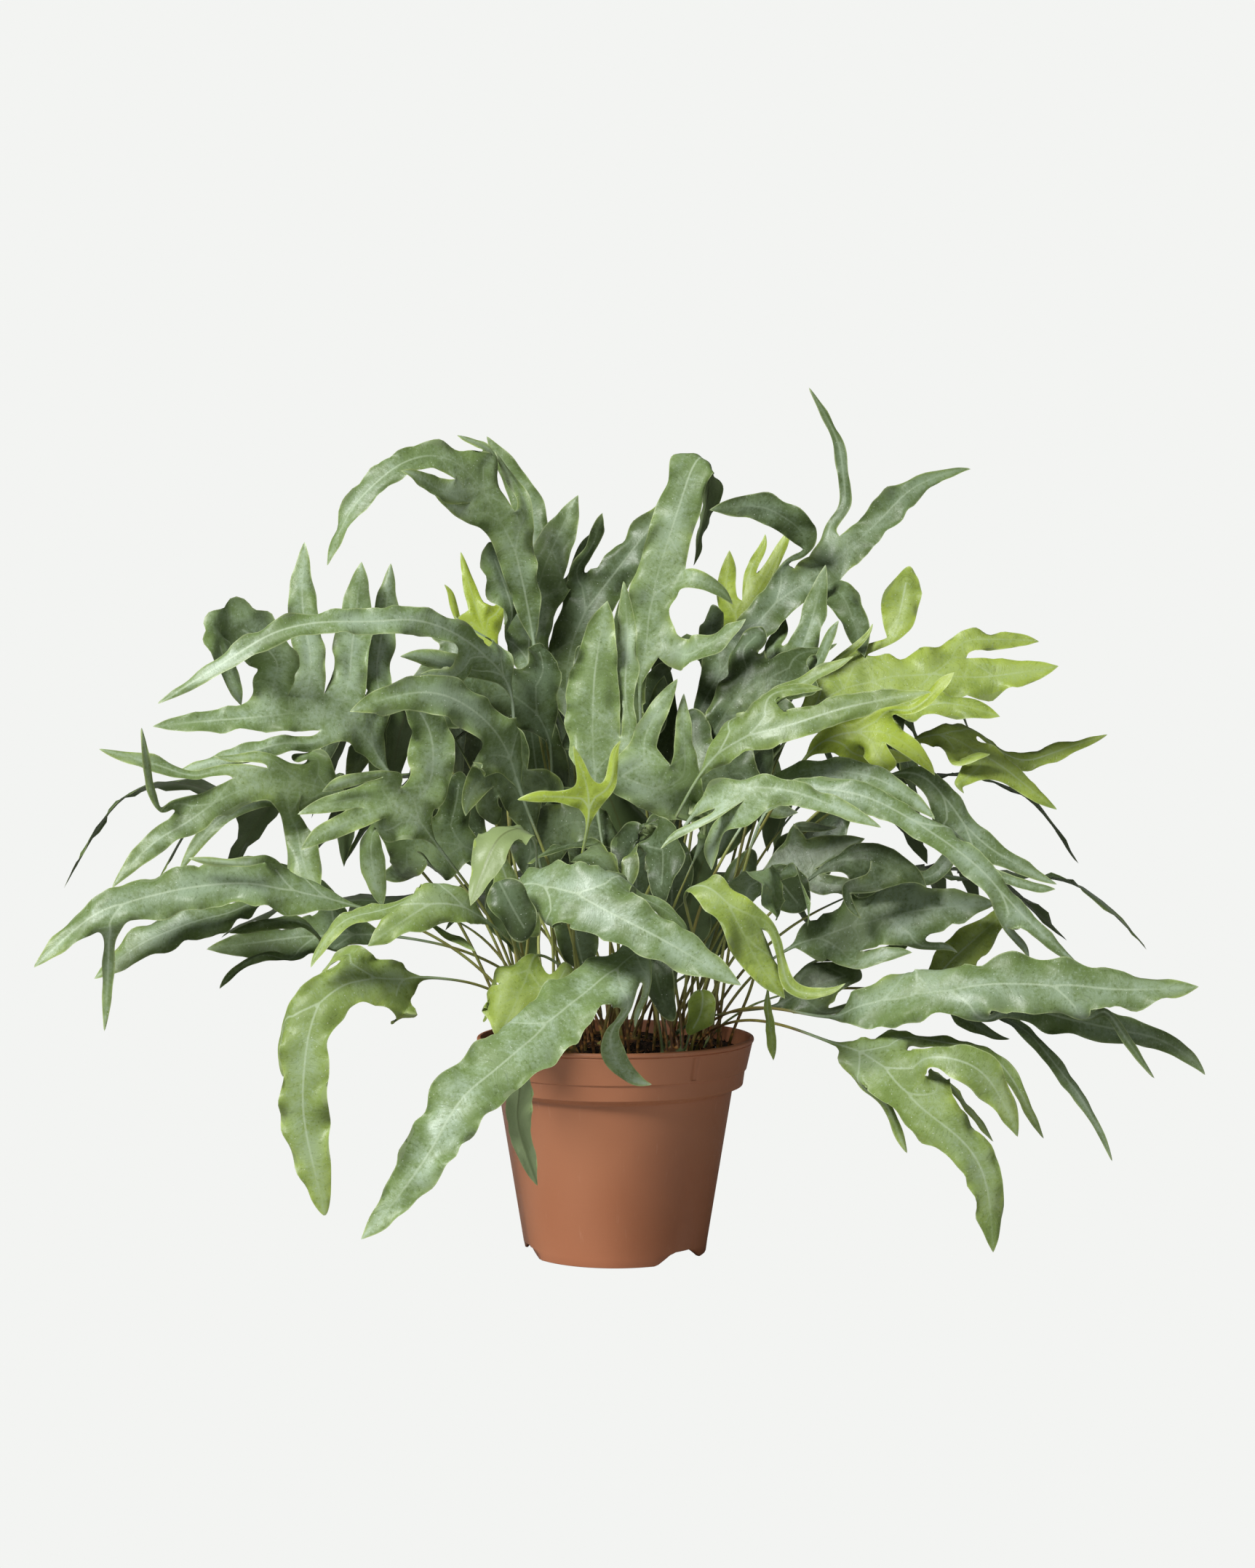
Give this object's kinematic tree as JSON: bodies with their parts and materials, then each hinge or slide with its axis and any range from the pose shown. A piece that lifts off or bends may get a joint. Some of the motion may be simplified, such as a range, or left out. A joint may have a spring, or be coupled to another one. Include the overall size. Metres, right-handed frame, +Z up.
{
  "type": "potted blue star fern",
  "caption": "Blue star fern with long, lobed and waved blue-green fronds on thin stalks, standing in a tapered terracotta-coloured nursery pot filled with peat.",
  "frame": {"origin": "on the surface that the plant stands on, under the middle of the pot", "axes": "+Z up; -Y towards the pictured front; +X to the right as seen from the front"},
  "size_m": [0.6727, 0.565, 0.5379],
  "materials": {
    "pot_plastic": "satin injection-moulded terracotta-coloured plastic with fine turning lines",
    "peat": null,
    "frond_leaf": null
  },
  "bodies": {
    "root": {"pot": "pot_plastic", "soil": "peat", "frond_front_long": "frond_leaf", "frond_front_diagonal": "frond_leaf", "frond_right_big": "frond_leaf", "frond_left_big": "frond_leaf", "frond_lower_right": "frond_leaf", "frond_left_hanging": "frond_leaf", "frond_bright_front": "frond_leaf", "frond_pale_hanging": "frond_leaf", "frond_left_yellow": "frond_leaf", "frond_pot_front": "frond_leaf", "frond_front_small": "frond_leaf", "frond_soil_young": "frond_leaf", "frond_front_left": "frond_leaf", "frond_cross_ribbon": "frond_leaf", "frond_left_hand": "frond_leaf", "frond_left_long": "frond_leaf", "frond_left_low": "frond_leaf", "frond_long_arch_left": "frond_leaf", "frond_arch_top_left": "frond_leaf", "frond_strap_top": "frond_leaf", "frond_toothed_back": "frond_leaf", "frond_dark_centre": "frond_leaf", "frond_pale_strap": "frond_leaf", "frond_tall_strap": "frond_leaf", "frond_long_diagonal": "frond_leaf", "frond_back_fan": "frond_leaf", "frond_upright_grey": "frond_leaf", "frond_right_yellow_top": "frond_leaf", "frond_right_green": "frond_leaf", "frond_wavy_light": "frond_leaf", "frond_right_arch": "frond_leaf", "frond_pale_wavy": "frond_leaf", "frond_pale_mid": "frond_leaf", "frond_young_centre": "frond_leaf", "frond_right_arc_one": "frond_leaf", "frond_right_arc_two": "frond_leaf", "frond_right_arc_three": "frond_leaf", "frond_right_blue": "frond_leaf", "frond_right_underside": "frond_leaf", "frond_right_inner": "frond_leaf", "frond_grey_lobed": "frond_leaf", "frond_right_mid_dark": "frond_leaf", "frond_right_arc_low": "frond_leaf", "frond_centre_hanging": "frond_leaf", "frond_centre_left": "frond_leaf", "frond_inner_left": "frond_leaf", "frond_inner_left_low": "frond_leaf", "frond_inner_left_high": "frond_leaf", "frond_inner_centre": "frond_leaf", "frond_inner_top": "frond_leaf", "frond_inner_right": "frond_leaf", "frond_inner_right_high": "frond_leaf", "spray_front_left": "frond_leaf", "spray_front_right": "frond_leaf", "spray_centre": "frond_leaf", "spray_back_left": "frond_leaf", "spray_back_middle": "frond_leaf", "spray_back_right": "frond_leaf"}
  },
  "joints": []
}
